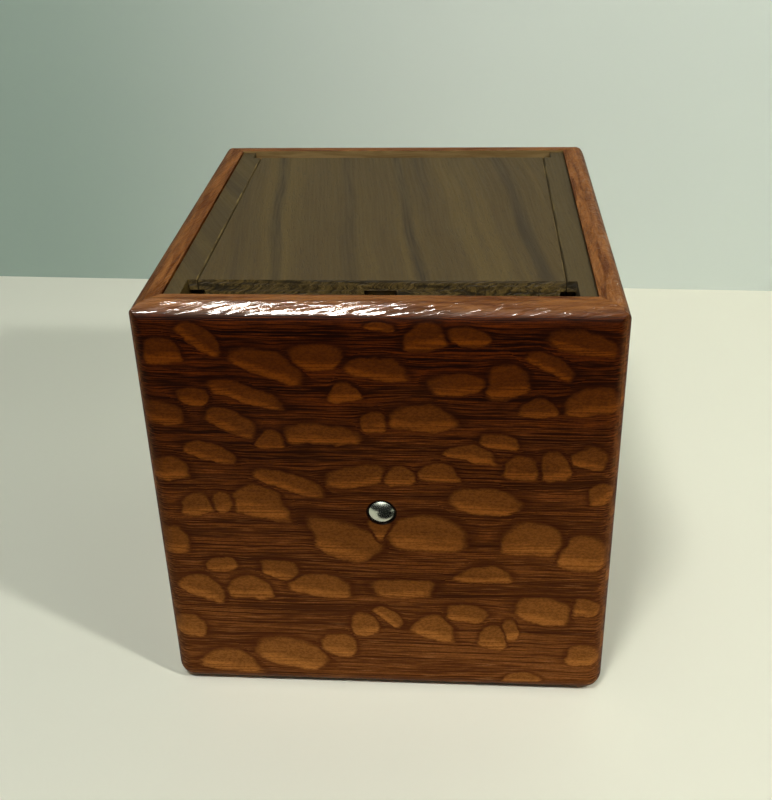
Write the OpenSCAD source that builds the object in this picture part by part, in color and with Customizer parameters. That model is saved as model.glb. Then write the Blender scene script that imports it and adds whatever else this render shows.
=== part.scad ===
/* [Case] */
// Outside width, left to right
case_w = 76; // [70:1:90]
// Outside depth, front to back
case_d = 78; // [74:1:92]
// Outside height
case_h = 76; // [72:1:90]
// Thickness of the four mitred walls
wall_t = 4.7; // [4.4:0.1:5.6]
// Radius of the round-over on every outside edge
edge_r = 3; // [1:0.1:3.6]

/* [Base] */
// Thickness of the bottom panel
base_t = 4.7; // [4:0.1:6]
// Thickness of the tongue round the bottom panel
tongue_t = 1.5; // [1:0.1:2]
// How far the tongue reaches into the walls
tongue_l = 1.8; // [1:0.1:2.4]
// Height of the tongue's underside above the table
tongue_z = 1.6; // [1.4:0.1:2]
// Room left at the bottom of the groove for the panel to swell
tongue_play = 0.2; // [0.1:0.05:0.4]

/* [Top] */
// Depth of the lid and rails below the rim of the case
top_recess = 0.4; // [0.2:0.1:1]
// Width of each side rail
rail_w = 4.2; // [3.6:0.1:5]
// Height of each side rail
rail_h = 11.6; // [11:0.2:14]
// Thickness of the lid
lid_t = 5.2; // [4.8:0.1:6]
// Gap between the front wall and the lid, for a fingertip
front_gap = 6.1; // [5:0.1:7]
// Gap between the lid and the rear wall
rear_gap = 3.2; // [2.8:0.1:4]
// Running gap on each side of the lid
lid_side_gap = 0.15; // [0.1:0.05:0.4]
// Gap under the closed lid
lid_seat_gap = 0.15; // [0.1:0.05:0.3]
// How far the gaps at the lid's ends are cut into each rail
rail_cut = 1.5; // [1:0.1:2.2]
// Chamfer on the long edges of the lid and rails
wood_ease = 0.2; // [0.1:0.05:0.4]
// Width of the small undercut at each end of the finger gap, inside the lid
relief_w = 0.9; // [0.6:0.1:1.2]
// Depth of that undercut, front to back
relief_d = 2; // [1:0.5:3]
// Height of that undercut
relief_h = 1.6; // [1:0.1:2]
// Depth of the undercuts and the keeper pocket below the lid's top
slit_drop = 1.8; // [1.5:0.1:2]

/* [Hinge] */
// Diameter of the two hinge pins
pin_d = 2; // [1.6:0.1:2.4]
// Radial running clearance of each pin in the lid
pin_clear = 0.05; // [0.03:0.01:0.08]
// How far each pin reaches into the lid
pin_grip = 4; // [3:0.5:6]
// Distance from the lid's rear edge to the pin axis
hinge_back = 3.2; // [2.8:0.1:3.6]
// Distance from the lid's underside to the pin axis
hinge_up = 2; // [1.8:0.1:2.2]
// Angle of the open lid
open_angle = 105; // [100:1:110]
// Gap left at the open stop
stop_gap = 0.03; // [0.02:0.01:0.1]
// Depth of the open stop, front to back
stop_d = 5; // [4:0.2:6]

/* [Interior] */
// Thickness of the side and rear liners
liner_t = 2; // [1.5:0.1:3]
// Depth of the space behind the front wall that holds the mechanism
bay_d = 10.3; // [10:0.1:12]
// Thickness of the wall between the mechanism and the compartment
divider_t = 2.3; // [2:0.1:4]
// Thickness of the felt pad on the compartment's floor
felt_t = 1; // [0.8:0.1:2]
// Gap round the felt pad
felt_gap = 0.3; // [0.2:0.1:1]
// Height of the cross rail that closes the mechanism space
cross_h = 3.9; // [3:0.1:5]

/* [Button] */
// Diameter of the button's head
button_d = 4.1; // [3.9:0.1:4.4]
// Diameter of the hole in the front wall
button_hole_d = 4.7; // [4.6:0.1:5]
// Height of the button's axis above the table
button_z = 38.8; // [34:0.2:41]
// How far the crown stands out of the front wall
button_proud = 0.35; // [0.2:0.05:0.6]
// Height of the crown on the button's face
button_crown = 0.5; // [0.3:0.05:0.8]
// Length of the button's head, crown included
button_head_l = 1.8; // [1.6:0.1:2]
// How far the button can be pressed
button_travel = 2.5; // [2:0.1:2.6]
// Diameter of the button's stem
stem_d = 2.4; // [2:0.1:2.5]
// Radial running clearance of the stem in its bush
stem_clear = 0.05; // [0.03:0.01:0.08]
// Depth of the groove for the clip
clip_groove = 0.3; // [0.2:0.05:0.4]
// Outside diameter of the clip
clip_d = 4.4; // [3.8:0.1:5]
// Thickness of the clip
clip_t = 0.5; // [0.4:0.1:0.8]
// Length of stem behind the clip
stem_tip = 0.9; // [0.7:0.1:1.2]
// Height of the rounded end of the stem
tip_crown = 0.4; // [0.3:0.05:0.6]
// Wire diameter of the button's spring
spring_wire = 0.4; // [0.3:0.05:0.45]
// Mean diameter of the spring's turns
spring_d = 3.3; // [3.1:0.1:3.4]
// Number of turns in the spring
spring_turns = 5; // [4:1:6]

/* [Bush and bracket] */
// Outside diameter of the guide bush
bush_d = 6; // [5.6:0.1:6.6]
// Diameter of the spring's seat inside the bush
bush_seat_d = 4.6; // [4.4:0.1:4.8]
// Thickness of the bush's end wall
bush_end = 1; // [0.8:0.1:1.4]
// Depth of the spring's seat in the bush
bush_seat_l = 2.5; // [2.3:0.1:2.8]
// Diameter of the bush's flange
flange_d = 8; // [7.4:0.1:8.6]
// Thickness of the bush's flange
flange_t = 0.7; // [0.5:0.1:1]
// Thickness of the bracket's sheet metal
sheet_t = 1.4; // [1.2:0.1:1.6]
// Width of the bracket's back plate
plate_w = 17; // [16:0.5:20]
// Length of the plate below the button's axis
plate_drop = 7; // [6.5:0.5:9]
// Length of the plate above the lever's pin
plate_rise = 6.5; // [6:0.5:8]
// Radius of the bracket's corners and ear ends
ear_r = 2; // [1.8:0.1:2.4]
// Distance from the plate's edges to its screws
screw_in = 2.4; // [2.2:0.1:2.8]
// Shank diameter of the bracket screws
screw_d = 1.6; // [1.2:0.1:2]
// Length of the bracket screws under the head
screw_l = 4; // [3.5:0.1:4.5]
// Diameter of the screw heads
screw_head_d = 3; // [2.6:0.1:3.2]
// Height of the screw heads
screw_head_h = 0.9; // [0.7:0.1:1.2]

/* [Lever] */
// Distance from the button's axis up to the lever's pin
lever_arm = 15.6; // [14:0.2:18]
// Width of the lever, left to right
lever_w = 4.2; // [3.6:0.1:4.4]
// Thickness of the lever's arms
lever_t = 2; // [1.8:0.1:2.2]
// Radius of the boss round the lever's pin
lever_boss_r = 2.2; // [2:0.1:2.4]
// Length of the lower arm below the button's axis
lever_tail = 2.4; // [1.5:0.1:3]
// Gap between the button's stem and the lever
lever_touch_gap = 0.1; // [0.05:0.05:0.2]
// Gap between the lever and each ear
ear_gap = 0.3; // [0.2:0.05:0.5]
// Diameter of the lever's pin
lever_pin_d = 1.8; // [1.5:0.1:2]
// Diameter of the magnet in the lever's head
magnet_d = 2.8; // [2.4:0.1:3]
// Height of the magnet
magnet_h = 2; // [1.5:0.1:2.2]
// How far the magnet stands above the lever
magnet_proud = 0.1; // [0.05:0.05:0.2]
// Metal left round the magnet
magnet_rim = 0.5; // [0.4:0.1:0.6]
// Gap between the magnet and the keeper
magnet_gap = 0.45; // [0.4:0.05:0.7]
// Distance from the lid's front edge back to the magnet's axis
magnet_in = 1.6; // [1.4:0.1:2]
// How far the lever's pin stands forward of the magnet's axis
pin_set = 0.4; // [0.2:0.1:0.6]

/* [Keeper] */
// Width of the pocket in the lid for the keeper
pocket_w = 5.2; // [5:0.1:6]
// Depth of that pocket, front to back
pocket_d = 5.6; // [5:0.1:7]
// Thickness of the keeper plate
keeper_t = 1; // [0.8:0.1:1.2]
// How far the keeper is set back from the lid's front edge
keeper_back = 0.6; // [0.4:0.1:1]

/* [Hidden] */
$fn = 48;

leopardwood = [0.50, 0.24, 0.10];
walnut = [0.27, 0.20, 0.12];
steel = [0.72, 0.72, 0.74];
brass = [0.78, 0.62, 0.28];
felt = [0.30, 0.07, 0.08];
bite = 1; // how far a cutting shape runs past the face it opens

// Case, inside and outside
out_x = case_w / 2;
out_y = case_d / 2;
in_x = out_x - wall_t;
in_y = out_y - wall_t;

// Top of the box
top_z = case_h - top_recess;
lid_z0 = top_z - lid_t;
seat_z = lid_z0 - lid_seat_gap;
rail_z0 = top_z - rail_h;
rail_x = in_x - rail_w;
lid_x = rail_x - lid_side_gap;
lid_y0 = front_gap - in_y;
lid_y1 = in_y - rear_gap;
slit_z = top_z - slit_drop;

// Hinge: the rear top edge of the lid meets the stop at the open angle
hinge_y = lid_y1 - hinge_back;
hinge_z = lid_z0 + hinge_up;
top_reach = lid_t - hinge_up;
stop_z = hinge_z - hinge_back * sin(open_angle) + top_reach * cos(open_angle) - stop_gap;

// Mechanism space and compartment
bay_y1 = bay_d - in_y;
room_y0 = bay_y1 + divider_t;
liner_x = in_x - liner_t;
liner_y = in_y - liner_t;

// Button, from its crown back to the tip of its stem
crown_y = -out_y - button_proud;
head_y1 = crown_y + button_head_l;
plate_y1 = sheet_t - in_y;
seat_y = bush_seat_l - in_y;
bush_y1 = seat_y + bush_end;
clip_y0 = bush_y1;
stem_y1 = clip_y0 + clip_t + stem_tip;

// Radius of the sphere that domes the end of a rod of diameter d by h
function dome_r(d, h) = (pow(d / 2, 2) + pow(h, 2)) / (2 * h);

// Lever: the stem pushes its lower arm back and its head swings forward
lever_z = button_z + lever_arm;
magnet_y = lid_y0 + magnet_in;
lever_y = magnet_y - pin_set;
lever_swing = button_travel / lever_arm * 180 / PI;
arm_y0 = stem_y1 + lever_touch_gap;
keeper_z0 = slit_z - keeper_t;
magnet_z1 = keeper_z0 - magnet_gap;
lever_z1 = magnet_z1 - magnet_proud;
head_d = magnet_d + 2 * magnet_rim;
head_h = magnet_h + 2 * magnet_rim;
ear_x0 = lever_w / 2 + ear_gap;
ear_x1 = ear_x0 + sheet_t;
slot_w = pocket_w;
slot_y0 = magnet_y - head_d / 2 - (magnet_z1 - lever_z) * sin(lever_swing) - ear_gap;

// A rectangle centred on the origin, its corners rounded
module rounded_rect(w, h, r) {
    square([w - 2 * r, h], center = true);
    square([w, h - 2 * r], center = true);
    for (x = [-1, 1], y = [-1, 1])
        translate([x * (w / 2 - r), y * (h / 2 - r)]) circle(r);
}

// Draws its child, a profile in the YZ plane, along X and centred on X = 0
module along_x(length) {
    rotate([90, 0, 90]) linear_extrude(length, center = true) children();
}

// Draws its child, a profile in the XZ plane, along Y and centred on Y = 0
module along_y(length) {
    rotate([90, 0, 0]) linear_extrude(length, center = true) children();
}

// A cylinder along Y from y0 to y1, at height z
module rod_y(d, y0, y1, z, x = 0) {
    translate([x, y0, z]) rotate([-90, 0, 0]) cylinder(d = d, h = y1 - y0);
}

// A cylinder along X from x0 to x1
module rod_x(d, x0, x1, y, z) {
    translate([x0, y, z]) rotate([0, 90, 0]) cylinder(d = d, h = x1 - x0);
}

// A box between two corners
module block(low, high) {
    translate(low) cube(high - low);
}

// The whole outside of the case, rounded on all twelve edges, with the four corners
// that it stands on rounded like a ball
module case_form() {
    reach = edge_r + bite;
    difference() {
        intersection() {
            linear_extrude(case_h) rounded_rect(case_w, case_d, edge_r);
            translate([0, 0, case_h / 2]) along_x(case_w + bite) rounded_rect(case_d, case_h, edge_r);
            translate([0, 0, case_h / 2]) along_y(case_d + bite) rounded_rect(case_w, case_h, edge_r);
        }
        for (x = [-1, 1], y = [-1, 1])
            translate([x * (case_w / 2 - edge_r), y * (case_d / 2 - edge_r), edge_r])
                difference() {
                    translate([x, y, -1] * reach / 2) cube(reach, center = true);
                    sphere(edge_r);
                }
    }
}

// The groove in the walls for the base panel's tongue, as a slab
module groove_slab() {
    reach = tongue_l + tongue_play;
    block(
        [-in_x - reach, -in_y - reach, tongue_z],
        [in_x + reach, in_y + reach, tongue_z + tongue_t]
    );
}

// One wall of the case, facing -Y: half_w and out are the outside half width and
// half depth there, and the ends are cut at 45 degrees
module mitred_wall(half_w, out) {
    linear_extrude(case_h) polygon([
        [-half_w, -out], [half_w, -out],
        [half_w - wall_t, wall_t - out], [wall_t - half_w, wall_t - out]
    ]);
}

module front_panel() color(leopardwood) difference() {
    intersection() {
        case_form();
        mitred_wall(out_x, out_y);
    }
    groove_slab();
    rod_y(button_hole_d, -out_y - bite, bite - in_y, button_z);
    bracket_screw_holes();
}

module rear_panel() color(leopardwood) difference() {
    intersection() {
        case_form();
        rotate(180) mitred_wall(out_x, out_y);
    }
    groove_slab();
}

module side_panel(side) {
    difference() {
        intersection() {
            case_form();
            rotate(side * 90) mitred_wall(out_y, out_x);
        }
        groove_slab();
    }
}

module left_panel() color(leopardwood) side_panel(-1);
module right_panel() color(leopardwood) side_panel(1);

module base_panel() color(leopardwood) {
    block([-in_x, -in_y, 0], [in_x, in_y, base_t]);
    block(
        [-in_x - tongue_l, -in_y - tongue_l, tongue_z],
        [in_x + tongue_l, in_y + tongue_l, tongue_z + tongue_t]
    );
}

// A board between two corners, with its two upper edges along Y eased
module eased_board(low, high) {
    size = high - low;
    translate([0, (low.y + high.y) / 2, 0]) along_y(size.y) polygon([
        [low.x, low.z], [high.x, low.z], [high.x, high.z - wood_ease],
        [high.x - wood_ease, high.z], [low.x + wood_ease, high.z], [low.x, high.z - wood_ease]
    ]);
}

// The undercut at the right-hand end of the finger gap
module end_relief() {
    block(
        [lid_x - relief_w, lid_y0 - bite, slit_z - relief_h],
        [rail_x + rail_cut, lid_y0 + relief_d, slit_z]
    );
}

module right_side_rail() difference() {
    eased_board([rail_x, -in_y, rail_z0], [in_x, in_y, top_z]);
    block([rail_x - bite, -in_y - bite, seat_z], [rail_x + rail_cut, lid_y0, top_z + bite]);
    block([rail_x - bite, lid_y1, seat_z], [rail_x + rail_cut, in_y + bite, top_z + bite]);
    end_relief();
    rod_x(pin_d, rail_x - bite, in_x + bite, hinge_y, hinge_z);
}

module right_rail() color(walnut) right_side_rail();
module left_rail() color(walnut) mirror([1, 0, 0]) right_side_rail();

module front_cross_rail() color(walnut) difference() {
    block([-rail_x, -in_y, seat_z - cross_h], [rail_x, bay_y1, seat_z]);
    block([-slot_w / 2, slot_y0, seat_z - cross_h - bite], [slot_w / 2, bay_y1 + bite, seat_z + bite]);
}

module rear_stop_rail() color(walnut)
    block([-rail_x, in_y - stop_d, rail_z0], [rail_x, in_y, stop_z]);

module divider() color(walnut) {
    block([-in_x, bay_y1, base_t], [in_x, room_y0, rail_z0]);
    block([-rail_x, bay_y1, rail_z0], [rail_x, room_y0, seat_z]);
}

module right_side_liner() block([liner_x, room_y0, base_t], [in_x, in_y, rail_z0]);
module right_liner() color(walnut) right_side_liner();
module left_liner() color(walnut) mirror([1, 0, 0]) right_side_liner();

module rear_liner() color(walnut)
    block([-liner_x, liner_y, base_t], [liner_x, in_y, rail_z0]);

module felt_pad() color(felt) block(
    [felt_gap - liner_x, room_y0 + felt_gap, base_t],
    [liner_x - felt_gap, liner_y - felt_gap, base_t + felt_t]
);

module lid() color(walnut) difference() {
    eased_board([-lid_x, lid_y0, lid_z0], [lid_x, lid_y1, top_z]);
    block([-pocket_w / 2, lid_y0 - bite, lid_z0 - bite], [pocket_w / 2, lid_y0 + pocket_d, slit_z]);
    for (side = [0, 1]) mirror([side, 0, 0]) {
        end_relief();
        rod_x(pin_d + 2 * pin_clear, lid_x - pin_grip - pin_clear, lid_x + bite, hinge_y, hinge_z);
    }
}

module lid_keeper() color(steel) block(
    [-pocket_w / 2, lid_y0 + keeper_back, keeper_z0],
    [pocket_w / 2, lid_y0 + pocket_d, slit_z]
);

module hinge_pins() color(steel) for (side = [0, 1]) mirror([side, 0, 0])
    rod_x(pin_d, lid_x - pin_grip, in_x, hinge_y, hinge_z);

// Half outline of a round rod of diameter d and length l from the origin along +Y,
// with a dome of height h on its far end
module domed_half(d, l, h) {
    intersection() {
        square([d / 2, l]);
        union() {
            square([d / 2, l - h]);
            translate([0, l - dome_r(d, h)]) circle(dome_r(d, h), $fn = 96);
        }
    }
}

module button() color(steel) translate([0, 0, button_z]) rotate([-90, 0, 0]) rotate_extrude() {
    translate([0, head_y1]) mirror([0, 1]) domed_half(button_d, button_head_l, button_crown);
    difference() {
        translate([0, head_y1]) domed_half(stem_d, stem_y1 - head_y1, tip_crown);
        translate([stem_d / 2 - clip_groove, clip_y0]) square([stem_d, clip_t]);
    }
}

// An E-clip: a ring with its lower third open
module button_clip() color(steel) difference() {
    rod_y(clip_d, clip_y0, clip_y0 + clip_t, button_z);
    rod_y(stem_d - 2 * clip_groove, clip_y0 - bite, clip_y0 + clip_t + bite, button_z);
    mouth = stem_d / 2 - clip_groove;
    block([-mouth, clip_y0 - bite, button_z - clip_d], [mouth, clip_y0 + clip_t + bite, button_z]);
}

// How far along the spring its wire is after a share t of its turns: the first and the
// last turn lie almost flat
function spring_rise(t) =
    let (end_turn = 1 / spring_turns, flat = 0.08)
    t < end_turn ? flat * t / end_turn :
    t > 1 - end_turn ? 1 - flat * (1 - t) / end_turn :
    flat + (1 - 2 * flat) * (t - end_turn) / (1 - 2 * end_turn);

// The coil spring: a round wire swept along a helix
module button_spring() color(steel) {
    sides = 8;
    steps = 20; // rings in a turn
    rings = spring_turns * steps;
    wire_r = spring_wire / 2;
    y0 = head_y1 + wire_r;
    travel = seat_y - wire_r - y0;
    points = [
        for (i = [0:rings], j = [0:sides - 1])
            let (
                turn = 360 * i / steps,
                around = 360 * j / sides,
                r = spring_d / 2 + wire_r * cos(around),
                y = y0 + travel * spring_rise(i / rings) + wire_r * sin(around)
            )
            [r * cos(turn), y, button_z + r * sin(turn)]
    ];
    faces = [
        [for (j = [0:sides - 1]) j],
        for (i = [0:rings - 1], j = [0:sides - 1])
            let (k = (j + 1) % sides, a = i * sides, b = a + sides)
            [a + j, b + j, b + k, a + k],
        [for (j = [sides - 1:-1:0]) rings * sides + j]
    ];
    polyhedron(points, faces);
}

// A cup for the spring, with a flange behind the bracket's plate
module guide_bush() color(brass) difference() {
    union() {
        rod_y(bush_d, -in_y, bush_y1, button_z);
        rod_y(flange_d, plate_y1, plate_y1 + flange_t, button_z);
    }
    rod_y(bush_seat_d, -in_y - bite, seat_y, button_z);
    rod_y(stem_d + 2 * stem_clear, seat_y - bite, bush_y1 + bite, button_z);
}

// Calls its child at each screw of the bracket
module at_screws() {
    x = plate_w / 2 - screw_in;
    for (side = [-1, 1], z = [button_z - plate_drop + screw_in, lever_z + plate_rise - screw_in])
        translate([side * x, 0, z]) children();
}

module bracket_screw_holes() at_screws() rod_y(screw_d, -in_y - screw_l + sheet_t, bite - in_y, 0);

// A bent sheet bracket: a plate on the front wall and two ears for the lever's pin
module lever_bracket() color(brass) difference() {
    union() {
        plate_h = lever_z + plate_rise - button_z + plate_drop;
        translate([0, (plate_y1 - in_y) / 2, button_z - plate_drop + plate_h / 2])
            along_y(sheet_t) rounded_rect(plate_w, plate_h, ear_r);
        for (side = [-1, 1]) translate([side * (ear_x0 + ear_x1) / 2, 0, 0]) along_x(sheet_t) {
            translate([lever_y, lever_z]) circle(ear_r);
            polygon([
                [plate_y1, lever_z - 2 * ear_r], [lever_y, lever_z - ear_r],
                [lever_y, lever_z + ear_r], [plate_y1, lever_z + 2 * ear_r]
            ]);
        }
    }
    rod_y(bush_d, -in_y - bite, plate_y1 + bite, button_z);
    rod_x(lever_pin_d, -ear_x1 - bite, ear_x1 + bite, lever_y, lever_z);
    at_screws() rod_y(screw_d, -in_y - bite, plate_y1 + bite, 0);
}

module bracket_screws() color(steel) at_screws() difference() {
    union() {
        rod_y(screw_d, plate_y1 - screw_l, plate_y1, 0);
        rod_y(screw_head_d, plate_y1, plate_y1 + screw_head_h, 0);
    }
    slot = screw_head_h / 2;
    block([-screw_head_d, plate_y1 + slot, -slot / 2], [screw_head_d, plate_y1 + 2 * slot + bite, slot / 2]);
}

// A cranked rocker: lower arm behind the stem, boss on the pin, head for the magnet
module lever() color(brass) difference() {
    along_x(lever_w) {
        translate([lever_y, lever_z]) circle(lever_boss_r);
        polygon([
            [arm_y0, button_z - lever_tail], [arm_y0 + lever_t, button_z - lever_tail],
            [arm_y0 + lever_t, button_z + lever_t], [lever_y + lever_t / 2, lever_z],
            [lever_y - lever_t / 2, lever_z], [arm_y0, button_z + lever_t]
        ]);
        polygon([
            [lever_y - lever_t / 2, lever_z], [lever_y + lever_t / 2, lever_z],
            [magnet_y + lever_t / 2, lever_z1 - head_h], [magnet_y + head_d / 2, lever_z1 - head_h],
            [magnet_y + head_d / 2, lever_z1], [magnet_y - head_d / 2, lever_z1],
            [magnet_y - head_d / 2, lever_z1 - head_h], [magnet_y - lever_t / 2, lever_z1 - head_h]
        ]);
    }
    rod_x(lever_pin_d + 2 * pin_clear, -lever_w, lever_w, lever_y, lever_z);
    translate([0, magnet_y, magnet_z1 - magnet_h]) cylinder(d = magnet_d, h = magnet_h + bite);
}

module lever_pin() color(steel) rod_x(lever_pin_d, -ear_x1, ear_x1, lever_y, lever_z);

module latch_magnet() color(steel)
    translate([0, magnet_y, magnet_z1 - magnet_h]) cylinder(d = magnet_d, h = magnet_h);

front_panel();
rear_panel();
left_panel();
right_panel();
base_panel();
left_rail();
right_rail();
front_cross_rail();
rear_stop_rail();
divider();
left_liner();
right_liner();
rear_liner();
felt_pad();
lid();
lid_keeper();
hinge_pins();
button();
button_clip();
button_spring();
guide_bush();
lever_bracket();
bracket_screws();
lever();
lever_pin();
latch_magnet();
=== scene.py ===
"""The look of the wooden puzzle box: wood figure, metals and felt on the CAD frame."""
import math

import bpy
from mathutils import Matrix, Vector

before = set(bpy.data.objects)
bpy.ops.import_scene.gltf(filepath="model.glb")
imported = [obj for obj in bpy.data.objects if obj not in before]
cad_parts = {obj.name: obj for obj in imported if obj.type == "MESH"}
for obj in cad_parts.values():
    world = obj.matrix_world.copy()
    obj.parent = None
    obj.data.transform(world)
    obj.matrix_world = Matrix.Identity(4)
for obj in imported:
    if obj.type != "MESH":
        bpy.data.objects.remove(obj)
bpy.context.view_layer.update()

MM = 0.001
X, Y, Z = 0, 1, 2
BUTTON_Z = 38.8
BUTTON_HOLE_R = 2.35

# ---------------------------------------------------------------- colours (sRGB, 0 to 255)

# Leopardwood: each colour in the dark red heartwood, then in the paler wood beside it.
# On the front board the wood goes from the first to the second downward, as painted
# shade darker towards the top
GRAIN_DARK = ((24, 5, 0), (78, 39, 13))
GRAIN_GOLD = ((84, 33, 3), (128, 77, 34))
PORE_LINE = ((14, 1, 0), (52, 22, 5))
PALE_FIBRE = ((104, 48, 12), (164, 118, 74))
FLECK_DULL = ((60, 24, 1), (116, 70, 27))
# The flecks' gold, also used for their painted highlight near the foot
FLECK_GOLD_HIGHLIGHT = ((112, 54, 6), (172, 110, 48))
FLECK_LINE = ((40, 12, 0), (86, 44, 14))
FLECK_GRIT = ((90, 42, 8), (160, 104, 54))
# Painted shade round the flecks
FLECK_SHADE = ((26, 5, 0), (72, 32, 8))
DARK_GRIT = ((18, 2, 0), (64, 28, 7))

RIM_DARK = (88, 47, 18)
RIM_PALE = (136, 87, 44)
HOLE_SHADE = (14, 5, 1)
PLAIN_DARK = (112, 88, 52)
PLAIN_PALE = (142, 118, 76)
POLISH_TINT = (255, 230, 198)

WALNUT = (73, 57, 25)
WALNUT_DARK = (45, 34, 14)
WALNUT_LIGHT = (84, 67, 30)
WALNUT_PORE = (38, 30, 15)
WALNUT_STAIN = (44, 36, 19)
WALNUT_EDGE_HIGHLIGHT = (112, 94, 54)
END_DARK = (54, 42, 14)
END_PALE = (108, 88, 42)
END_PATCH = (30, 24, 6)

STEEL = (170, 170, 172)
BRASS = (190, 150, 74)
FELT_RED = (92, 18, 24)


def linear(colour):
    """The scene-linear value of an sRGB colour written as 0 to 255."""
    return tuple(
        c / 255 / 12.92 if c <= 10.3 else ((c / 255 + 0.055) / 1.055) ** 2.4
        for c in colour
    ) + (1.0,)


# ---------------------------------------------------------------- node helper


class Shader:
    """One material's node tree, a call per node. Values may be numbers or sockets."""

    def __init__(self, name):
        self.material = bpy.data.materials.new(name)
        self.material.use_nodes = True
        self.tree = self.material.node_tree
        self.tree.nodes.clear()
        self.out = self.tree.nodes.new("ShaderNodeOutputMaterial")
        self.bsdf = self.tree.nodes.new("ShaderNodeBsdfPrincipled")
        self.tree.links.new(self.bsdf.outputs[0], self.out.inputs["Surface"])

    def feed(self, socket, value):
        if isinstance(value, bpy.types.NodeSocket):
            self.tree.links.new(value, socket)
        else:
            socket.default_value = value

    def node(self, kind, inputs=None, output=0, **settings):
        made = self.tree.nodes.new(kind)
        for key, value in settings.items():
            setattr(made, key, value)
        for key, value in (inputs or {}).items():
            self.feed(made.inputs[key], value)
        return made.outputs[output]

    def surface(self, **values):
        """Sets the Principled shader: Base_Color=..., Roughness=... and so on."""
        for key, value in values.items():
            self.feed(self.bsdf.inputs[key.replace("_", " ")], value)

    # Numbers

    def math(self, op, a, b=0.0, c=0.0):
        return self.node("ShaderNodeMath", {0: a, 1: b, 2: c}, operation=op)

    def plus(self, a, b):
        return self.math("ADD", a, b)

    def minus(self, a, b):
        return self.math("SUBTRACT", a, b)

    def times(self, a, b):
        return self.math("MULTIPLY", a, b)

    def power(self, a, b):
        return self.math("POWER", a, b)

    def absolute(self, a):
        return self.math("ABSOLUTE", a)

    def largest(self, a, b):
        return self.math("MAXIMUM", a, b)

    def smallest(self, a, b):
        return self.math("MINIMUM", a, b)

    def step(self, value, low, high, out_low=0.0, out_high=1.0, smooth=True):
        """out_low where value is at low, out_high where it is at high, and between them."""
        return self.node(
            "ShaderNodeMapRange",
            {"Value": value, 1: low, 2: high, 3: out_low, 4: out_high},
            interpolation_type="SMOOTHSTEP" if smooth else "LINEAR",
        )

    def pick(self, factor, a, b):
        """Number a where factor is 0, number b where it is 1."""
        return self.node("ShaderNodeMix", {0: factor, 2: a, 3: b}, data_type="FLOAT")

    # Vectors

    def vector(self, op, a, b=(0.0, 0.0, 0.0), output=0):
        return self.node("ShaderNodeVectorMath", {0: a, 1: b}, output, operation=op)

    def scale(self, a, factor):
        return self.node("ShaderNodeVectorMath", {0: a, "Scale": factor}, operation="SCALE")

    def length(self, a):
        return self.vector("LENGTH", a, output="Value")

    def dot(self, a, b):
        return self.vector("DOT_PRODUCT", a, b, "Value")

    def split(self, a):
        made = self.tree.nodes.new("ShaderNodeSeparateXYZ")
        self.feed(made.inputs[0], a)
        return made.outputs[0], made.outputs[1], made.outputs[2]

    def join(self, x, y, z=0.0):
        return self.node("ShaderNodeCombineXYZ", {0: x, 1: y, 2: z})

    # Patterns, colours and relief

    def noise(self, where, scale=1.0, detail=2.0, rough=0.5, distortion=0.0, output=0):
        return self.node(
            "ShaderNodeTexNoise",
            {"Vector": where, "Scale": scale, "Detail": detail,
             "Roughness": rough, "Distortion": distortion},
            output,
        )

    def fibres(self, where, waves, detail, rough, distortion=0.0):
        """Noise drawn out along a board: waves is how many there are in a mm along it, up
        it and through it."""
        drawn = self.join(*(self.times(part, per_mm) for part, per_mm in zip(where, waves)))
        return self.noise(drawn, 1.0, detail, rough, distortion)

    def mix(self, factor, a, b):
        """Colour a where factor is 0, colour b where it is 1."""
        made = self.tree.nodes.new("ShaderNodeMix")
        made.data_type = "RGBA"
        self.feed(made.inputs[0], factor)
        self.feed(made.inputs[6], a)
        self.feed(made.inputs[7], b)
        return made.outputs[2]

    def bump(self, height, distance, strength=1.0, normal=None):
        """A bump whose heights are in mm."""
        inputs = {"Height": height, "Distance": distance * MM, "Strength": strength}
        if normal is not None:
            inputs["Normal"] = normal
        return self.node("ShaderNodeBump", inputs)

    # Where the surface is

    def place(self):
        """Position in mm in the box's own frame."""
        where = self.node("ShaderNodeTexCoord", output="Object")
        return self.scale(where, 1 / MM)

    def facing(self):
        """The normal in the box's own frame, as its three parts."""
        return self.split(self.node("ShaderNodeTexCoord", output="Normal"))

    def board(self, along, up, offset):
        """Position in mm in the box's own frame, and position in a board: along its
        grain, up its stack and through it, moved by offset so that no two boards match."""
        parts = self.split(self.place())
        axes = (along, up, through_axis(along, up))
        return parts, [self.plus(parts[axis], shift) for axis, shift in zip(axes, offset)]


def through_axis(along, up):
    """The third axis."""
    return X + Y + Z - along - up
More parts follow.
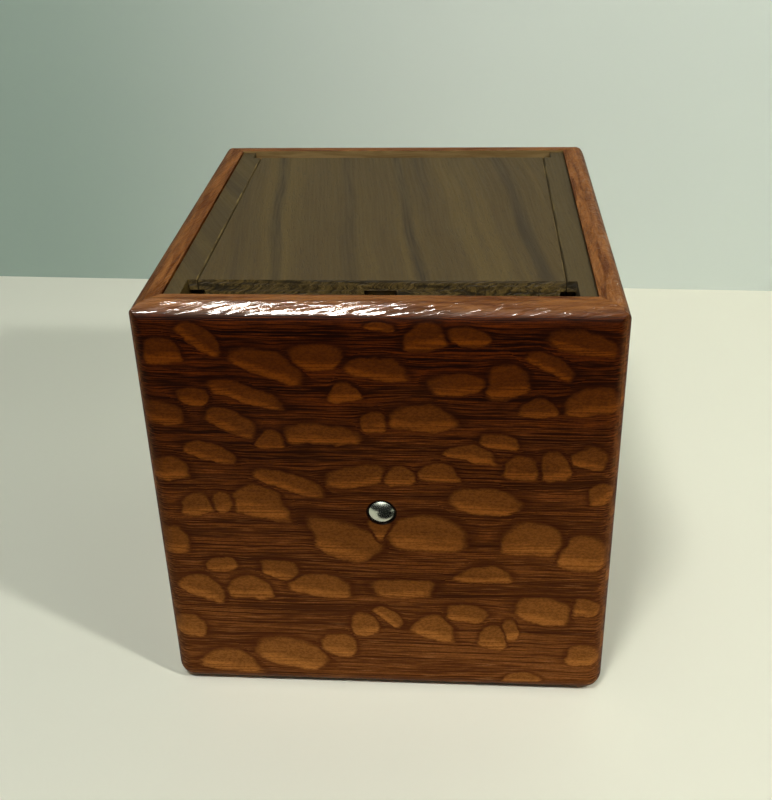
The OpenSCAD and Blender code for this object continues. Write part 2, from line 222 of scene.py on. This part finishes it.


# ---------------------------------------------------------------- leopardwood

# The flecks on the front board: centre x and height z, width, height and tilt, in mm
# and degrees, and how much narrower the top is than the foot, listed from its top
# left corner down
FRONT_FLECKS = [
    (-33, 68.3, 5.4, 4.8, 0, 0.2), (-27.1, 70.6, 7.5, 4, -40, 0), (-17, 66, 11.5, 5, -20, -0.1),
    (-9.2, 67.2, 7.4, 5, 0, -0.25), (0, 65.5, 9.2, 3.9, -8, 0.1), (0.7, 72.8, 4, 2, 0, 0),
    (7.8, 71.2, 6.2, 4.8, 10, 0.2), (13.8, 71.2, 6.6, 3.2, -6, 0), (31, 70.3, 9.6, 4.2, -14, 0),
    (26, 66.6, 7.2, 3.6, -32, 0), (-5.1, 61.4, 4.5, 4.2, 0, 0.35),
    (-29, 60.2, 4.8, 3.8, 0, -0.3), (-20.8, 61, 11, 3.2, -20, 0), (-35, 57.3, 7.4, 4.8, -10, 0),
    (-23.3, 55.6, 7.6, 4, -28, 0), (12.6, 62.9, 8.6, 3.8, 6, -0.2),
    (19.8, 63.3, 6.2, 6.2, 12, 0), (33, 59.8, 8, 5.4, 10, 0.1), (24.8, 59, 5.2, 3.8, 0, 0.3),
    (-0.7, 56, 4.2, 3.6, 0, 0), (6.6, 56.7, 10.2, 5, 0, 0.15), (-17, 52.7, 4.2, 3.8, 0, 0.1),
    (-9.2, 53.3, 12, 4.2, -2, 0), (18.9, 52.8, 5.4, 3.2, -8, 0),
    (14.3, 50.5, 7.4, 3.6, -8, 0.25), (-27.4, 50, 8, 3.4, -18, 0),
    (22.4, 47.8, 5, 5.2, -8, 0.1), (27.8, 47.8, 4.2, 6, 14, 0), (33, 49.6, 5, 4.2, -8, -0.1),
    (-34.2, 46.4, 6, 4.8, 0, 0), (-14.8, 44.2, 11.4, 3.6, -20, 0), (-3.9, 45.6, 9.2, 4.2, 8, 0),
    (3.3, 45.6, 4.8, 3.8, 0, 0), (9.1, 46.4, 6.2, 3.6, -4, 0.15), (35.3, 43, 4, 4.4, 30, 0),
    (17, 40.9, 10.6, 5.2, -6, -0.2), (-30.2, 39.4, 5.8, 4.4, 8, 0.25),
    (-26, 40, 3.8, 4.6, 25, 0), (-20.3, 40.2, 9, 6.8, -14, 0.3),
    (-6.4, 32.2, 10, 7.6, -20, -0.5), (7, 34, 12.2, 8, -2, 0), (-35.4, 31.8, 4.8, 6.6, 0, 0),
    (-0.4, 35, 2.6, 4.2, 0, -0.5), (24.5, 33.2, 9, 7.4, 0, 0.05), (33, 30.7, 7.4, 7.8, -5, 0),
    (-27.6, 27, 4.6, 3.6, 0, -0.1), (16.8, 26.1, 8, 4, 0, 0.3), (-17.9, 26, 5.6, 4, -16, -0.3),
    (-31.4, 21.8, 7.4, 4.8, -24, 0), (-23.1, 22, 6.8, 5, -4, 0.2), (-11, 22.8, 9.6, 5.2, -6, 0),
    (3.3, 22.6, 9, 4.2, 0, -0.35), (26.9, 18.3, 8.8, 6, -12, -0.2), (34, 19.4, 4.8, 4, -6, 0),
    (-3.7, 14.1, 4.2, 5.6, 12, 0), (0.5, 16.4, 6, 3.2, -42, 0), (8.3, 14, 6.2, 6.2, -12, 0.4),
    (13.8, 17.2, 5.8, 4.4, -10, -0.3), (18.7, 12, 4.2, 5.6, -8, 0), (21.8, 13.7, 2.4, 5, 14, 0),
    (-34.6, 13, 5.4, 5, -12, -0.2), (-8.5, 9.4, 5.6, 5.4, -10, 0),
    (-16.6, 6.8, 11.4, 7, -12, -0.25), (-27.9, 5.2, 8.8, 6, -6, 0.3),
    (34.4, 8.4, 5.4, 5.2, 0, 0), (23.9, 3.3, 5.4, 2.6, 0, 0.2),
]
NO_FLECK = 99.0  # farther away than any fleck

# How far the outlines wander from side to side, in mm
SHAKE_PLACED = 2.3
SHAKE_STREWN = 3.4

# Flecks strewn at random, in mm: the mean distance from one to the next along the grain,
# up the stack and through the board, then half their least and greatest width and
# height, and half their depth
STREWN_PITCH = (11.0, 6.4, 6.0)
STREWN_HALF_W = (3.2, 6.8)
STREWN_HALF_H = (2.0, 3.4)
STREWN_HALF_T = 4.0
STREWN_SPREAD = 0.85    # 0 leaves them in rows, 1 is fully random
STREWN_SHARE = 0.74     # how many of the places have a fleck
OUT_OF_REACH = 4.0      # moves a missing fleck off its place

# The powers of a fleck's outline, 2 being an ellipse: round at the top, square at the foot
SIDE_POWER = 2.3
TOP_POWER = 2.0
FOOT_POWER = 4.4

# How fine each layer of the wood is: its waves in a mm along a board, up it and through it
SLOW_WAVES = (0.04, 0.09, 0.15)
TONE_WAVES = (0.09, 0.14, 0.1)
OUTLINE_WAVES = (0.22, 0.32, 0.2)
BAND_WAVES = (0.03, 0.3, 0.2)
LINE_WAVES = (0.028, 3.3, 0.8)
FINE_WAVES = (0.2, 5.0, 2.0)
GRIT_WAVES = (2.0, 3.4, 3.4)
STREAK_WAVES = (0.1, 0.9, 0.9)
PORE_WAVES = (0.06, 1.9, 1.2)

# Painted shade on the front board: the heights between which it goes from darker at the
# top to paler below, and how far they wander, in mm
SHADED_ABOVE = 80.0
LIT_BELOW = 16.0
SHADE_WANDER = 24.0

# How square-on a normal is where a board's face ends, and where its edge is full
FACE_TO_EDGE = (0.93, 0.5)
PORE_DEPTH = 0.09
TORN_DEPTH = 0.75


def placed_flecks(s, board, shaken):
    """Where a point is in the nearest of the front board's flecks, -1 to 1 across its
    width and its height, how much nearer it is than the next one, and a slow tone."""
    along, up, _ = s.split(shaken)
    point = s.join(along, up, 1.0)
    across = high = nearest = second = NO_FLECK
    for x, z, width, height, tilt, taper in FRONT_FLECKS:
        cos, sin = math.cos(math.radians(tilt)), math.sin(math.radians(tilt))
        a = s.dot(point, Vector((cos, sin, -cos * x - sin * z)) * 2 / width)
        b = s.dot(point, Vector((-sin, cos, sin * x - cos * z)) * 2 / height)
        if taper:
            a = s.math("MULTIPLY_ADD", s.times(a, b), taper, a)
        distance = s.math("MULTIPLY_ADD", a, a, s.times(b, b))
        closer = s.math("LESS_THAN", distance, nearest)
        across = s.pick(closer, across, a)
        high = s.pick(closer, high, b)
        second = s.smallest(second, s.largest(distance, nearest))
        nearest = s.smallest(distance, nearest)
    apart = s.minus(s.math("SQRT", second), s.math("SQRT", nearest))
    tone = s.noise(s.vector("MULTIPLY", board, TONE_WAVES), detail=0.0)
    return across, high, apart, tone


def strewn_flecks(s, shaken):
    """The same for a board whose flecks are strewn at random."""
    cell = s.vector("DIVIDE", shaken, STREWN_PITCH)
    near, far = (s.tree.nodes.new("ShaderNodeTexVoronoi") for _ in range(2))
    far.feature = "DISTANCE_TO_EDGE"
    for cells in (near, far):
        cells.inputs["Scale"].default_value = 1.0
        cells.inputs["Randomness"].default_value = STREWN_SPREAD
        s.feed(cells.inputs["Vector"], cell)
    centre = near.outputs["Position"]
    wide, tall, tone = s.split(
        s.node("ShaderNodeTexWhiteNoise", {"Vector": centre}, "Color")
    )
    drawn = s.node("ShaderNodeTexWhiteNoise", {"Vector": centre}, "Value")
    half = s.join(
        s.step(wide, 0.0, 1.0, *STREWN_HALF_W, smooth=False),
        s.step(tall, 0.0, 1.0, *STREWN_HALF_H, smooth=False),
        STREWN_HALF_T,
    )
    spread = s.vector("SUBTRACT", shaken, s.vector("MULTIPLY", centre, STREWN_PITCH))
    across, high, _ = s.split(s.vector("DIVIDE", spread, half))
    missing = s.math("GREATER_THAN", drawn, STREWN_SHARE)
    across = s.plus(across, s.times(missing, OUT_OF_REACH))
    return across, high, s.times(far.outputs["Distance"], 2.0), tone


def fleck_reach(s, across, high):
    """1 on a fleck's outline and 0 at its centre: domed above, flat below."""
    foot = s.math("LESS_THAN", high, 0.0)
    tall = s.times(high, s.plus(1.0, s.times(foot, 0.3)))
    squareness = s.math("MULTIPLY_ADD", foot, FOOT_POWER - TOP_POWER, TOP_POWER)
    side = s.power(s.absolute(across), SIDE_POWER)
    return s.power(s.plus(side, s.power(s.absolute(tall), squareness)), 1 / SIDE_POWER)


def wood_colour(s, where, board, slow, pale, flecks):
    """The figured face of a board, and its pore lines. pale is 0 for dark red heartwood
    and 1 for the paler wood beside it; on the front board it follows height, as painted
    shade darker towards the top."""
    u, v, w = where
    across, high, apart, tone = flecks

    def shade(colour):
        """One colour of the wood, from its darkest board to its palest, which on the front
        board is painted shade by height.
        """
        heart, sap = colour
        return s.mix(pale, linear(heart), linear(sap))

    # Pore lines, bent a little round the flecks
    reach = fleck_reach(s, across, high)
    push = s.times(s.step(reach, 1.9, 0.9), s.times(high, 0.3))
    bent = s.plus(s.minus(v, push), s.times(slow, 1.2))
    bands = s.fibres((u, bent, w), BAND_WAVES, 2.0, 0.5)
    lines = s.fibres((u, bent, w), LINE_WAVES, 2.0, 0.6)
    fine = s.fibres((u, bent, w), FINE_WAVES, 1.0, 0.5)
    grit = s.noise(s.vector("MULTIPLY", board, GRIT_WAVES), rough=0.7)

    # A fleck's edge is crisp above, and below it is combed out along the pore lines
    comb = s.times(s.minus(lines, 0.5), s.step(high, 0.1, -0.8, 0.0, 1.2))
    reach = s.plus(reach, comb)
    fleck = s.times(s.step(reach, 1.2, 0.92), s.step(apart, 0.0, 0.5))

    # Ground: dark and golden wood in fine lines, with black pores and a few pale fibres
    grain = s.plus(s.times(bands, 0.2), s.times(lines, 0.45))
    grain = s.plus(grain, s.times(fine, 0.35))
    ground = s.mix(s.step(grain, 0.43, 0.62), shade(GRAIN_DARK), shade(GRAIN_GOLD))
    ground = s.mix(s.step(lines, 0.44, 0.34, 0.0, 0.7), ground, shade(PORE_LINE))
    ground = s.mix(s.step(fine, 0.6, 0.76, 0.0, 0.35), ground, shade(PALE_FIBRE))

    # Fleck: dull at the top, with a painted highlight as a gold band near the foot, and
    # lines through it
    foot_highlight = s.times(s.step(high, -1.05, -0.45), s.step(high, 0.1, -0.45))
    gold_and_highlight = s.plus(s.times(foot_highlight, 0.7), s.times(tone, 0.3))
    body = s.mix(gold_and_highlight, shade(FLECK_DULL), shade(FLECK_GOLD_HIGHLIGHT))
    cut = s.times(s.step(lines, 0.52, 0.4), s.step(high, 0.3, -0.6, 0.2, 0.62))
    body = s.mix(cut, body, shade(FLECK_LINE))
    body = s.mix(s.step(grit, 0.4, 0.64, 0.0, 0.16), body, shade(FLECK_GRIT))

    # Painted shade: a soft dark edge round each fleck, heaviest over the top
    fleck_shade = s.times(s.step(reach, 1.7, 1.05), s.step(high, -1.1, 0.3, 0.3, 0.8))
    colour = s.mix(fleck_shade, ground, shade(FLECK_SHADE))
    colour = s.mix(fleck, colour, body)
    colour = s.mix(s.step(grit, 0.6, 0.36, 0.0, 0.3), colour, shade(DARK_GRIT))
    return colour, lines


def leopardwood(name, along, up, offset, placed=False, plain_from=None):
    """Figured wood. along and up are the axes that the grain runs along and that it is
    stacked in. placed puts the front board's flecks on it. From plain_from up, in mm,
    the board's inner face has no figure."""
    s = Shader(name)
    parts, (u, v, w) = s.board(along, up, offset)
    board = s.join(u, v, w)
    slow = s.noise(s.vector("MULTIPLY", board, SLOW_WAVES))
    ragged = s.noise(s.vector("MULTIPLY", board, OUTLINE_WAVES), detail=3.0, output=1)
    shake = s.vector("SUBTRACT", ragged, (0.5, 0.5, 0.5))
    shaken = s.vector("ADD", board, s.scale(shake, SHAKE_PLACED if placed else SHAKE_STREWN))
    if placed:
        flecks = placed_flecks(s, board, shaken)
        # Painted shade: the front board is darker towards its top and paler towards its foot
        level = s.plus(v, s.times(slow, SHADE_WANDER))
        pale = s.power(s.step(level, SHADED_ABOVE, LIT_BELOW, smooth=False), 1.25)
    else:
        flecks = strewn_flecks(s, shaken)
        pale = s.step(slow, 0.3, 0.7, 0.2, 0.8, smooth=False)
    colour, lines = wood_colour(s, (u, v, w), board, slow, pale, flecks)

    # The rounded and sawn edges show plain pale streaks
    facing = s.facing()
    outward = facing[through_axis(along, up)]
    edge = s.step(s.absolute(outward), *FACE_TO_EDGE)
    streak = s.fibres((u, v, w), STREAK_WAVES, 4.0, 0.65, 0.5)
    rim = s.mix(s.step(streak, 0.34, 0.66), linear(RIM_DARK), linear(RIM_PALE))
    colour = s.mix(edge, colour, rim)
    if placed:
        # Painted shade: a dark ring round the button's hole
        from_hole = s.length(s.join(u, s.minus(v, BUTTON_Z)))
        hole_shade = s.step(from_hole, BUTTON_HOLE_R + 0.3, BUTTON_HOLE_R)
        colour = s.mix(hole_shade, colour, linear(HOLE_SHADE))
    if plain_from is not None:
        plain = s.mix(s.step(streak, 0.3, 0.7), linear(PLAIN_DARK), linear(PLAIN_PALE))
        bare = s.times(s.step(parts[up], plain_from, plain_from + 1.5), s.step(edge, 1.0, 0.0))
        bare = s.times(bare, s.step(outward, 0.3, 0.0))
        colour = s.mix(bare, colour, plain)

    # Open pores on the faces; torn, slanting fibre on the edges
    pores = s.fibres((u, v, w), PORE_WAVES, 3.0, 0.62)
    arc = s.plus(v, w)
    slanted = s.join(
        s.times(s.plus(u, s.times(arc, 0.4)), 0.17),
        s.times(s.minus(arc, s.times(u, 0.32)), 1.35),
        s.times(w, 0.5),
    )
    torn = s.noise(slanted, 1.0, 3.0, 0.6, 0.6)
    torn_edge = s.times(edge, s.step(facing[Z], 0.02, 0.3, 0.0, 0.8))
    normal = s.bump(torn, TORN_DEPTH, torn_edge, s.bump(pores, PORE_DEPTH, 0.5))

    # Fibres that stand proud on the upper edges are polished, but worn dull on the right
    # and at the left corner
    flattest = s.largest(s.absolute(facing[X]), s.absolute(facing[Y]))
    flattest = s.largest(flattest, facing[Z])
    polished = s.times(s.step(flattest, 0.998, 0.95), s.step(facing[Z], 0.42, 0.66))
    wear_and_highlight = s.largest(
        s.step(parts[X], -4.0, 14.0, 0.0, 0.13), s.step(parts[X], -26.0, -34.0, 0.0, 0.12)
    )
    polished = s.times(polished, s.step(s.minus(torn, wear_and_highlight), 0.43, 0.54))
    s.surface(
        Base_Color=colour,
        Roughness=s.step(lines, 0.3, 0.7, 0.46, 0.36),
        Specular_IOR_Level=0.02,
        Coat_Weight=s.times(polished, 1.0 if placed else 0.3),
        Coat_Roughness=0.12,
        Coat_Tint=linear(POLISH_TINT),
        Normal=normal,
        Coat_Normal=normal,
    )
    return s.material


# ---------------------------------------------------------------- walnut

# Where the lid's dark streaks cross its middle, left to right, and how strong they are
LID_STREAKS = [(-27.0, 0.4), (-20.5, 1.0), (-8.0, 0.6), (2.6, 1.0), (6.0, 0.3), (22.5, 0.7)]
STREAK_HALF_W = 1.6

# Waves in a mm along a board, across it and through it
WALNUT_BEND_WAVES = (0.022, 0.03)
WALNUT_FIGURE_WAVES = (0.008, 0.2, 0.06)
WALNUT_FIBRE_WAVES = (0.07, 2.2, 2.0)
WALNUT_PORE_WAVES = (0.5, 5.5, 4.0)
WALNUT_HIGHLIGHT_WAVES = (0.09, 0.4, 0.4)
WALNUT_BEND = 2.5  # how far the grain wanders to either side, in mm
WALNUT_DEPTH = 0.04
END_DEPTH = 0.4


def walnut(name, along, up, offset, slant=0.0, stain=0.0, streaks=()):
    """Dark straight-grained wood. slant is how much the grain leans across the board, and
    stain darkens it, from 0 to 1."""
    s = Shader(name)
    _, (u, v, w) = s.board(along, up, offset)
    v = s.plus(v, s.times(u, slant))
    along_waves, across_waves = WALNUT_BEND_WAVES
    bend = s.noise(s.join(s.times(u, along_waves), s.times(v, across_waves), w), detail=1.0)
    v = s.plus(v, s.step(bend, 0.0, 1.0, -WALNUT_BEND, WALNUT_BEND, smooth=False))
    board = s.join(u, v, w)
    figure = s.fibres((u, v, w), WALNUT_FIGURE_WAVES, 3.0, 0.55)
    fibre = s.fibres((u, v, w), WALNUT_FIBRE_WAVES, 3.0, 0.6)
    pore = s.fibres((u, v, w), WALNUT_PORE_WAVES, 1.0, 0.5)
    grit = s.noise(board, 3.0, rough=0.8)
    colour = s.mix(s.step(figure, 0.36, 0.56), linear(WALNUT_LIGHT), linear(WALNUT))
    colour = s.mix(s.step(figure, 0.58, 0.7, 0.0, 0.6), colour, linear(WALNUT_DARK))
    for middle, strength in streaks:
        off = s.absolute(s.minus(v, middle))
        faded = s.step(fibre, 0.3, 0.6, strength, 0.5 * strength)
        band = s.times(s.step(off, STREAK_HALF_W, 0.2), faded)
        colour = s.mix(band, colour, linear(WALNUT_DARK))
    colour = s.mix(s.step(fibre, 0.35, 0.7, 0.0, 0.12), colour, linear(WALNUT_LIGHT))
    colour = s.mix(s.step(grit, 0.35, 0.65, 0.0, 0.3), colour, linear(WALNUT_DARK))
    colour = s.mix(s.step(pore, 0.42, 0.3, 0.0, 0.35), colour, linear(WALNUT_PORE))
    colour = s.mix(stain, colour, linear(WALNUT_STAIN))

    # Painted highlight: pale arrises along the grain, where the edges catch the light
    facing = [s.absolute(part) for part in s.facing()]
    bevel = s.times(
        s.step(facing[through_axis(along, up)], 0.92, 0.8), s.step(facing[up], 0.92, 0.8)
    )
    wear_and_highlight = s.noise(s.vector("MULTIPLY", board, WALNUT_HIGHLIGHT_WAVES))
    colour = s.mix(s.times(bevel, s.step(wear_and_highlight, 0.5, 0.68)), colour, linear(WALNUT_EDGE_HIGHLIGHT))

    # End grain: torn and diagonal, in dark and olive patches
    end_on = s.step(facing[along], 0.6, 0.9)
    lean = s.plus(v, s.times(w, 1.1))
    diagonal = s.join(s.times(lean, 0.3), s.times(s.minus(w, v), 1.2))
    torn = s.noise(diagonal, 1.0, 3.0, 0.6, 1.0)
    patch = s.noise(s.join(s.times(lean, 0.16), w), detail=1.0)
    end_grain = s.mix(s.step(torn, 0.34, 0.68), linear(END_DARK), linear(END_PALE))
    end_grain = s.mix(s.step(patch, 0.48, 0.36, 0.0, 0.75), end_grain, linear(END_PATCH))
    colour = s.mix(end_on, colour, end_grain)

    pit = s.step(pore, 0.42, 0.3)
    height = s.minus(s.times(fibre, 0.5), s.times(pit, 0.6))
    normal = s.bump(height, WALNUT_DEPTH, 0.5)
    normal = s.bump(s.times(torn, end_on), END_DEPTH, 0.8, normal)
    s.surface(
        Base_Color=colour,
        Roughness=s.step(fibre, 0.3, 0.7, 0.6, 0.46),
        Specular_IOR_Level=0.07,
        Normal=normal,
    )
    return s.material


# ---------------------------------------------------------------- metals and felt


def metal(name, colour, rough, brushed=(1.0, 1.0, 1.0), wear=0.08):
    """Metal with fine scratches; brushed packs them along an axis, and wear is how much
    rougher than rough it gets."""
    s = Shader(name)
    place = s.place()
    scratch = s.noise(s.vector("MULTIPLY", place, brushed), 6.0, 3.0, 0.6)
    stain = s.noise(place, 0.9)
    dark = linear([c * 0.6 for c in colour])
    s.surface(
        Base_Color=s.mix(s.step(stain, 0.5, 0.75, 0.0, 0.5), linear(colour), dark),
        Metallic=1.0,
        Roughness=s.step(scratch, 0.3, 0.7, rough, rough + wear),
        Normal=s.bump(scratch, 0.02, 0.4),
    )
    return s.material


def felt(name, colour):
    """Matted wool with paler patches."""
    s = Shader(name)
    place = s.place()
    fuzz = s.noise(place, 5.0, 4.0, 0.75)
    patch = s.noise(place, 0.12)
    pale = linear([min(255, c * 1.5) for c in colour])
    base = s.mix(s.step(fuzz, 0.3, 0.7), linear([c * 0.6 for c in colour]), linear(colour))
    s.surface(
        Base_Color=s.mix(s.step(patch, 0.45, 0.7, 0.0, 0.35), base, pale),
        Roughness=0.95,
        Sheen_Weight=0.6,
        Sheen_Roughness=0.5,
        Specular_IOR_Level=0.1,
        Normal=s.bump(fuzz, 0.25, 0.8),
    )
    return s.material


# ---------------------------------------------------------------- put them on the frame

MATERIALS = {
    "front_panel": leopardwood("leopardwood_front", X, Z, (0, 0, 0), placed=True),
    "rear_panel": leopardwood("leopardwood_rear", X, Z, (310, 40, 12), plain_from=70.0),
    "left_panel": leopardwood("leopardwood_left", Y, Z, (120, 75, 33)),
    "right_panel": leopardwood("leopardwood_right", Y, Z, (530, 10, 57)),
    "base_panel": leopardwood("leopardwood_base", X, Y, (220, 150, 83)),
    "left_rail": walnut("walnut_left_rail", Y, X, (40, 7, 3), slant=0.55, stain=0.25),
    "right_rail": walnut("walnut_right_rail", Y, X, (90, 41, 9), slant=0.05, stain=0.3),
    "front_cross_rail": walnut("walnut_cross_rail", X, Y, (15, 77, 5), stain=0.3),
    "rear_stop_rail": walnut("walnut_stop_rail", X, Y, (75, 27, 15), stain=0.3),
    "divider": walnut("walnut_divider", X, Z, (33, 12, 44)),
    "left_liner": walnut("walnut_left_liner", Y, Z, (61, 32, 14)),
    "right_liner": walnut("walnut_right_liner", Y, Z, (11, 52, 24)),
    "rear_liner": walnut("walnut_rear_liner", X, Z, (81, 72, 34)),
    "lid": walnut("walnut_lid", Y, X, (0, 0, 0), slant=0.11, streaks=LID_STREAKS),
    "felt_pad": felt("felt", FELT_RED),
    "button": metal("polished_steel", (190, 192, 180), 0.14),
    "hinge_pins": metal("steel_pins", STEEL, 0.3, (0.2, 3, 3)),
    "lever_pin": metal("steel_lever_pin", STEEL, 0.3, (0.2, 3, 3)),
    "button_clip": metal("steel_clip", (150, 150, 152), 0.35),
    "button_spring": metal("steel_spring", (160, 162, 166), 0.28),
    "bracket_screws": metal("steel_screws", (158, 156, 150), 0.35),
    # Painted shade: the keeper is near black so that the slit in front of it reads as a dark
    # gap
    "lid_keeper": metal("dark_steel", (26, 26, 28), 0.5, (1, 1, 3), wear=0.15),
    "latch_magnet": metal("nickel", (186, 182, 172), 0.18),
    "guide_bush": metal("brass_bush", (196, 156, 78), 0.28, (1, 0.3, 1)),
    "lever_bracket": metal("brass_bracket", BRASS, 0.34, (0.3, 1, 3)),
    "lever": metal("brass_lever", BRASS, 0.32, (3, 1, 0.3)),
}
for node, material in MATERIALS.items():
    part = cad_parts[node]
    part.data.materials.clear()
    part.data.materials.append(material)


# ---------------------------------------------------------------- camera

IMAGE_W, IMAGE_H = 772, 800
CAMERA_PLACE = Vector((13.0, -180.2, 147.0)) * MM
CAMERA_YAW = math.radians(-4.56)
CAMERA_PITCH = math.radians(27.2)
CAMERA_ROLL = math.radians(-1.62)
FOCAL_PX = 1075.3
CENTRE_PX = (386.6, 320.0)  # where the camera's axis meets the picture


def make_camera():
    cos_p, sin_p = math.cos(CAMERA_PITCH), math.sin(CAMERA_PITCH)
    ahead = Vector((math.sin(CAMERA_YAW) * cos_p, math.cos(CAMERA_YAW) * cos_p, -sin_p))
    level = Vector((math.cos(CAMERA_YAW), -math.sin(CAMERA_YAW), 0))
    upright = level.cross(ahead)
    right = level * math.cos(CAMERA_ROLL) + upright * math.sin(CAMERA_ROLL)
    up = upright * math.cos(CAMERA_ROLL) - level * math.sin(CAMERA_ROLL)
    data = bpy.data.cameras.new("camera")
    data.lens = FOCAL_PX / IMAGE_H * data.sensor_width
    data.shift_x = (IMAGE_W / 2 - CENTRE_PX[0]) / IMAGE_H
    data.shift_y = (CENTRE_PX[1] - IMAGE_H / 2) / IMAGE_H
    data.clip_start = 0.005
    camera = bpy.data.objects.new("camera", data)
    turn = Matrix((right, up, -ahead)).transposed().to_4x4()
    camera.matrix_world = Matrix.Translation(CAMERA_PLACE) @ turn
    bpy.context.scene.collection.objects.link(camera)
    bpy.context.scene.camera = camera


make_camera()

# ---------------------------------------------------------------- table, wall and card

# Each plane's size, in metres, the places across it where its colour starts and ends to
# change, in mm, and that colour at the left and at the right: the darker left is painted shade
PLANE_SIZE = 4.0
SHADE_FADE = (-130, 30)
TABLE_COLOURS = ((206, 208, 194), (217, 217, 200))
WALL_COLOURS = ((143, 163, 152), (204, 214, 206))
WALL_PLACE = (0, 0.130, 1.0)
WALL_TURN = (math.radians(90), 0, math.radians(-1.8))

# Painted shade: a dark sheet for the unlit room in front of the table, in mm, with a dark
# shape in the middle that reaches towards the box for the shade cast on the table there.
# Only reflections show it.
SHADE_CARD_OUTLINE = [
    (-1500, -1800), (1500, -1800), (1500, -115), (48, -110), (50, -84), (36, -60),
    (14, -52), (-8, -60), (-22, -84), (-20, -110), (-1500, -115),
]
SHADE_CARD_COLOUR = (24, 26, 24)


def stage_plane(name, place, turn, left, right):
    """A plain plane, seen from its front only, whose colour fades from left to right, from
    painted shade at the left.
    """
    bpy.ops.mesh.primitive_plane_add(size=PLANE_SIZE, location=place, rotation=turn)
    plane = bpy.context.object
    plane.name = name
    s = Shader(name)
    across, _, _ = s.split(s.place())
    colour = s.mix(s.step(across, *SHADE_FADE), linear(left), linear(right))
    s.surface(Base_Color=colour, Roughness=0.9, Specular_IOR_Level=0.2)
    behind = s.node("ShaderNodeNewGeometry", output="Backfacing")
    clear = s.node("ShaderNodeBsdfTransparent")
    faced = s.node("ShaderNodeMixShader", {0: behind, 1: s.bsdf.outputs[0], 2: clear})
    s.feed(s.out.inputs["Surface"], faced)
    plane.data.materials.append(s.material)


def painted_shade_card():
    """A dark card just above the table, painted shade that only reflections show, which the
    camera and the lamps don't see.
    """
    mesh = bpy.data.meshes.new("painted_shade_card")
    corners = [(x * MM, y * MM, MM) for x, y in SHADE_CARD_OUTLINE]
    mesh.from_pydata(corners, [], [list(range(len(corners)))])
    card = bpy.data.objects.new("painted_shade_card", mesh)
    bpy.context.scene.collection.objects.link(card)
    s = Shader("painted_shade_card")
    s.surface(Base_Color=linear(SHADE_CARD_COLOUR), Roughness=0.9, Specular_IOR_Level=0.0)
    mesh.materials.append(s.material)
    card.visible_camera = card.visible_diffuse = card.visible_shadow = False


stage_plane("floor", (0, 0, 0), (0, 0, 0), *TABLE_COLOURS)
stage_plane("wall", WALL_PLACE, WALL_TURN, *WALL_COLOURS)
painted_shade_card()

# ---------------------------------------------------------------- light

LAMPS_AIM = Vector((0, 0, 0.04))
LAMP_WHITE = (1.0, 0.985, 0.945)
GLINT_WHITE = (1.0, 0.95, 0.86)
ROOM_WHITE = (0.98, 1.0, 0.9)
WORLD_COLOUR = (0.9, 0.95, 0.9, 1)
WORLD_STRENGTH = 0.12


def softbox(name, place, size, power, colour, glints_only=False):
    """An area lamp aimed at the box. glints_only leaves it to the glossy surfaces."""
    data = bpy.data.lights.new(name, "AREA")
    data.shape = "RECTANGLE"
    data.size, data.size_y = size
    data.energy = power
    data.color = colour
    lamp = bpy.data.objects.new(name, data)
    lamp.location = place
    lamp.visible_diffuse = not glints_only
    direction = LAMPS_AIM - Vector(place)
    lamp.rotation_euler = direction.to_track_quat("-Z", "Y").to_euler()
    bpy.context.scene.collection.objects.link(lamp)


softbox("overhead", (-0.11, -0.33, 0.65), (0.10, 0.06), 2.4, LAMP_WHITE)
softbox("glint", (-0.11, -0.27, 0.70), (0.14, 0.34), 56.0, GLINT_WHITE, glints_only=True)
softbox("room", (-0.05, -0.70, 0.22), (0.9, 0.12), 1.3, ROOM_WHITE, glints_only=True)
softbox("right", (0.40, -0.262, 0.45), (0.04, 0.04), 2.1, LAMP_WHITE)

world = bpy.data.worlds.new("world")
world.use_nodes = True
background = world.node_tree.nodes["Background"]
background.inputs["Color"].default_value = WORLD_COLOUR
background.inputs["Strength"].default_value = WORLD_STRENGTH
bpy.context.scene.world = world
bpy.context.scene.view_settings.view_transform = "Standard"
